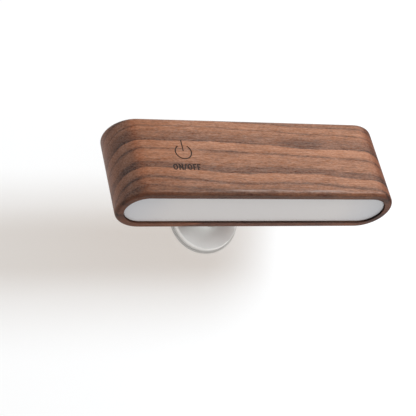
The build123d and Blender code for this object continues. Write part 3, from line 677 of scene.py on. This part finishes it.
# Moulded plastic: a faint mottle and a fine spark-eroded skin
moulded = {
    "cloudStretch": 140,
    "skinDetail": 2.0,
    "skinRoughness": 0.16,
    "skinStrength": 0.4,
}
plasticPieces = {
    "blackBezel": {"pieces": ("usb_bezel",), "colour": (0.020, 0.020, 0.022), "roughness": 0.48},
    "blackCarrier": {
        "pieces": ("chassis", "battery_cradle"),
        "colour": (0.035, 0.035, 0.038),
        "roughness": 0.55,
    },
    "whiteReflector": {"pieces": ("reflector",), "colour": (0.84, 0.84, 0.83), "roughness": 0.5},
    "whiteNylon": {
        "pieces": ("lead_connectors", "battery_straps"),
        "colour": (0.76, 0.76, 0.72),
        "roughness": 0.45,
    },
    "whiteBoard": {"pieces": ("led_board",), "colour": (0.82, 0.82, 0.81), "roughness": 0.35},
    "phosphorChip": {"pieces": ("led_chips",), "colour": (0.82, 0.62, 0.16), "roughness": 0.4},
    "greenBoard": {
        "pieces": ("control_board",),
        "colour": (0.010, 0.085, 0.035),
        "roughness": 0.3,
        "grain": 900,
        "distance": 0.00001,
        "mottle": 0.25,
    },
    "chipPackage": {"pieces": ("board_components",), "colour": (0.022, 0.022, 0.024), "roughness": 0.5},
    "cellSleeve": {
        "pieces": ("battery_cell",),
        "colour": (0.035, 0.14, 0.34),
        "roughness": 0.28,
        "grain": 300,
        "distance": 0.00001,
        "mottle": 0.05,
    },
    "acetal": {
        "pieces": ("friction_washers", "swivel_bush"),
        "colour": (0.72, 0.72, 0.68),
        "roughness": 0.38,
    },
    "lightPipe": {
        "pieces": ("status_light_pipe",),
        "colour": (0.74, 0.78, 0.78),
        "roughness": 0.12,
        "grain": 800,
        "distance": 0.000005,
        "mottle": 0.03,
        "specular": 0.5,
    },
    "redInsulation": {
        "pieces": ("cell_lead_red", "led_lead_red"),
        "colour": (0.46, 0.014, 0.010),
        "roughness": 0.42,
    },
    "blackInsulation": {
        "pieces": ("cell_lead_black", "led_lead_black"),
        "colour": (0.018, 0.018, 0.018),
        "roughness": 0.42,
    },
    "whiteInsulation": {"pieces": ("touch_lead",), "colour": (0.74, 0.74, 0.72), "roughness": 0.42},
}


def makePlastic(name, colour, roughness, grain=2200, distance=0.00002, mottle=0.08, specular=0.45):
    material, tree, shader = newMaterial(name, roughness, 0.0, specular)
    point = objectPoint(tree)
    cloud = noise(tree, point, moulded["cloudStretch"])
    skin = noise(tree, point, grain, moulded["skinDetail"])
    tint = centred(tree, cloud, mottle * 2, 1.0)
    link(tree, scaled(tree, colour, tint), shader.inputs["Base Color"])
    link(tree, centred(tree, skin, moulded["skinRoughness"], roughness), shader.inputs["Roughness"])
    bump(tree, shader, skin, distance, moulded["skinStrength"])
    return material


dressAll(plasticPieces, makePlastic)
print("stage: plastics")

# The foot's pad, in metres: a raised lip round a field of small studs, so that it grips a smooth desk
pad = {
    "colour": (0.80, 0.79, 0.765),
    "roughness": 0.55,
    "grain": 1500,
    "grainDistance": 0.00002,
    "mottle": 0.05,
    "specular": 0.4,
    "radius": 0.0227,
    "thickness": 0.0010,
    "edgeRound": 0.00028,
    "edgeSteps": 4,
    "lipWidth": 0.0014,
    "recess": 0.00035,
    "turns": 128,
    "weld": 1e-7,
    "sharpAngle": 35,
    "studPitch": 0.0026,
    "studReach": 0.0196,
    "studFoot": 0.00050,
    "studRoot": 0.00075,
    "studSink": 0.00005,
    "studSides": 12,
}


def padProfile():
    # Half of the section, from the middle of the top, round the edge, to the middle of the recess
    outer, edge, high = pad["radius"], pad["edgeRound"], pad["thickness"]
    line = [(0.0, high)]
    for centre, start in ((high - edge, 90), (edge, 0)):
        for step in range(pad["edgeSteps"] + 1):
            angle = math.radians(start - step * 90 / pad["edgeSteps"])
            line.append((outer - edge + edge * math.cos(angle), centre + edge * math.sin(angle)))
    inner = outer - edge - pad["lipWidth"]
    return line + [(inner, 0.0), (inner - pad["recess"] / 2, pad["recess"]), (0.0, pad["recess"])]


def revolved(name, profile):
    form = bmesh.new()
    corners = [form.verts.new((radius, 0, height)) for radius, height in profile]
    for first, second in zip(corners, corners[1:]):
        form.edges.new((first, second))
    bmesh.ops.spin(
        form, geom=form.verts[:] + form.edges[:], cent=(0, 0, 0), axis=(0, 0, 1), angle=math.tau,
        steps=pad["turns"], use_merge=True,
    )
    bmesh.ops.remove_doubles(form, verts=form.verts[:], dist=pad["weld"])
    bmesh.ops.recalc_face_normals(form, faces=form.faces[:])
    mesh = bpy.data.meshes.new(name)
    form.to_mesh(mesh)
    form.free()
    mesh.shade_smooth()
    mesh.set_sharp_from_angle(angle=math.radians(pad["sharpAngle"]))
    return mesh


def makeStudTree(material):
    # Studs on a staggered grid, kept inside the reach and joined to the incoming pad
    tree = bpy.data.node_groups.new("padStuds", "GeometryNodeTree")
    face = tree.interface
    face.new_socket("Geometry", in_out="INPUT", socket_type="NodeSocketGeometry")
    for name in ("Pitch", "Reach", "Stud Foot", "Stud Root", "Stud Height"):
        face.new_socket(name, in_out="INPUT", socket_type="NodeSocketFloat")
    face.new_socket("Geometry", in_out="OUTPUT", socket_type="NodeSocketGeometry")
    given = node(tree, "NodeGroupInput").outputs
    made = node(tree, "NodeGroupOutput")

    # The grid reaches one pitch past the reach on every side
    span = calc(tree, "MULTIPLY", given["Reach"], 2.0)
    count = calc(tree, "ADD", calc(tree, "CEIL", calc(tree, "DIVIDE", span, given["Pitch"])), 3.0)
    width = calc(tree, "MULTIPLY", calc(tree, "SUBTRACT", count, 1.0), given["Pitch"])
    grid = node(tree, "GeometryNodeMeshGrid")
    for name, value in (("Size X", width), ("Size Y", width), ("Vertices X", count), ("Vertices Y", count)):
        link(tree, value, grid.inputs[name])

    # Every other row moves by half a pitch
    place = node(tree, "ShaderNodeSeparateXYZ")
    link(tree, node(tree, "GeometryNodeInputPosition").outputs[0], place.inputs[0])
    row = calc(tree, "ROUND", calc(tree, "DIVIDE", place.outputs["Y"], given["Pitch"]))
    odd = calc(tree, "ABSOLUTE", calc(tree, "MODULO", row, 2.0))
    step = node(tree, "ShaderNodeCombineXYZ")
    link(tree, calc(tree, "MULTIPLY", calc(tree, "MULTIPLY", odd, 0.5), given["Pitch"]), step.inputs["X"])
    shifted = node(tree, "GeometryNodeSetPosition")
    link(tree, grid.outputs["Mesh"], shifted.inputs["Geometry"])
    link(tree, step.outputs[0], shifted.inputs["Offset"])

    away = node(tree, "ShaderNodeVectorMath", operation="LENGTH")
    link(tree, node(tree, "GeometryNodeInputPosition").outputs[0], away.inputs[0])
    kept = node(tree, "GeometryNodeDeleteGeometry", domain="POINT")
    link(tree, shifted.outputs["Geometry"], kept.inputs["Geometry"])
    link(tree, calc(tree, "GREATER_THAN", away.outputs["Value"], given["Reach"]), kept.inputs["Selection"])

    stud = node(tree, "GeometryNodeMeshCone", fill_type="NGON")
    stud.inputs["Vertices"].default_value = pad["studSides"]
    link(tree, given["Stud Foot"], stud.inputs["Radius Bottom"])
    link(tree, given["Stud Root"], stud.inputs["Radius Top"])
    link(tree, given["Stud Height"], stud.inputs["Depth"])
    spread = node(tree, "GeometryNodeInstanceOnPoints")
    link(tree, kept.outputs["Geometry"], spread.inputs["Points"])
    link(tree, stud.outputs["Mesh"], spread.inputs["Instance"])
    joined = node(tree, "GeometryNodeJoinGeometry")
    link(tree, spread.outputs["Instances"], joined.inputs["Geometry"])
    link(tree, given["Geometry"], joined.inputs["Geometry"])
    real = node(tree, "GeometryNodeRealizeInstances")
    link(tree, joined.outputs["Geometry"], real.inputs["Geometry"])
    coat = node(tree, "GeometryNodeSetMaterial")
    coat.inputs["Material"].default_value = material
    link(tree, real.outputs["Geometry"], coat.inputs["Geometry"])
    link(tree, coat.outputs["Geometry"], made.inputs["Geometry"])
    return tree


def bakeNodes(piece, tree, values):
    # Run the tree once on the piece and keep its plain mesh
    modifier = piece.modifiers.new(tree.name, "NODES")
    modifier.node_group = tree
    for item in tree.interface.items_tree:
        if item.item_type == "SOCKET" and item.in_out == "INPUT" and item.name in values:
            modifier[item.identifier] = values[item.name]
    graph = bpy.context.evaluated_depsgraph_get()
    mesh = bpy.data.meshes.new_from_object(piece.evaluated_get(graph))
    piece.modifiers.remove(modifier)
    piece.data = mesh


def makePad():
    piece = bpy.data.objects.new("studdedPad", revolved("studdedPad", padProfile()))
    bpy.context.collection.objects.link(piece)
    material = makePlastic(
        "footSilicone", pad["colour"], pad["roughness"], pad["grain"], pad["grainDistance"], pad["mottle"],
        pad["specular"],
    )
    bakeNodes(piece, makeStudTree(material), {
        "Pitch": pad["studPitch"],
        "Reach": pad["studReach"],
        "Stud Foot": pad["studFoot"],
        "Stud Root": pad["studRoot"],
        "Stud Height": pad["recess"] + pad["studSink"],
    })
    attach(piece, "foot")
    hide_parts("foot_pad")
    print("stage: pad,", len(piece.data.polygons), "faces")


makePad()

# The pale table and what lies behind it. The camera and reflections see the backdrop white, and the
# table lifted towards white
studio = {
    "tableSize": 8.0,
    "tableCells": 4,
    "tableColour": (0.50, 0.57, 0.63),
    "tableRoughness": 0.85,
    "tableSpecular": 0.1,
    "tableLift": 0.442,
    "tableLiftColour": (1.0, 0.850, 0.720),
    "keyTowards": (0.600, 0.275, 0.752),
    "keyDistance": 1.6,
    "keySize": 0.68,
    "keyPower": 24.5,
    "fill": 0.51,
    "fillColour": (1.0, 0.985, 0.97),
}


def seenRay(tree):
    # 1 for a ray from the camera, a reflection or a pane, 0 for the light that falls on things
    path = node(tree, "ShaderNodeLightPath")
    seen = calc(tree, "MAXIMUM", path.outputs["Is Camera Ray"], path.outputs["Is Glossy Ray"])
    return calc(tree, "MAXIMUM", seen, path.outputs["Is Transmission Ray"])


def makeTable():
    mesh = bpy.data.meshes.new("paleTable")
    form = bmesh.new()
    cells = studio["tableCells"]
    bmesh.ops.create_grid(form, x_segments=cells, y_segments=cells, size=studio["tableSize"] / 2)
    form.to_mesh(mesh)
    form.free()
    table = bpy.data.objects.new("paleTable", mesh)
    bpy.context.collection.objects.link(table)
    material, tree, shader = newMaterial(
        "paleTable", studio["tableRoughness"], 0.0, studio["tableSpecular"],
    )
    shader.inputs["Base Color"].default_value = (*studio["tableColour"], 1)
    shader.inputs["Emission Color"].default_value = (*studio["tableLiftColour"], 1)
    lift = calc(tree, "MULTIPLY", seenRay(tree), studio["tableLift"])
    link(tree, lift, shader.inputs["Emission Strength"])
    mesh.materials.append(material)


def makeLights():
    world = bpy.data.worlds.new("studio")
    bpy.context.scene.world = world
    world.use_nodes = True
    tree = world.node_tree
    back = tree.nodes["Background"]
    seen = seenRay(tree)
    link(tree, blendColour(tree, seen, studio["fillColour"], white), back.inputs["Color"])
    strength = calc(tree, "MULTIPLY_ADD", seen, 1 - studio["fill"], studio["fill"])
    link(tree, strength, back.inputs["Strength"])
    towards = Vector(studio["keyTowards"]).normalized()
    light = bpy.data.lights.new("keyPanel", "AREA")
    light.shape = "DISK"
    light.size = studio["keySize"]
    light.energy = studio["keyPower"]
    panel = bpy.data.objects.new("keyPanel", light)
    panel.location = towards * studio["keyDistance"]
    panel.rotation_euler = towards.to_track_quat("Z", "Y").to_euler()
    bpy.context.collection.objects.link(panel)


makeTable()
makeLights()
print("stage: table and lights")

# The camera looks down from the front left, turned about its own line of sight
view = {
    "place": (-0.29346, -0.16687, 0.72486),
    "aim": (-0.01745, -0.00571, 0.05206),
    "roll": 57.231,
    "lens": 109.712,
    "sensor": 36.0,
    "nearest": 0.01,
}


def makeCamera():
    camera = bpy.data.cameras.new("photographView")
    camera.lens = view["lens"]
    camera.sensor_width = view["sensor"]
    camera.clip_start = view["nearest"]
    place = Vector(view["place"])
    sight = Vector(view["aim"]) - place
    turn = sight.to_track_quat("-Z", "Y").to_matrix() @ Matrix.Rotation(math.radians(view["roll"]), 3, "Z")
    holder = bpy.data.objects.new("photographView", camera)
    holder.matrix_world = Matrix.Translation(place) @ turn.to_4x4()
    bpy.context.collection.objects.link(holder)
    bpy.context.scene.camera = holder


makeCamera()
bpy.context.scene.view_settings.view_transform = "Standard"
print("stage: camera")
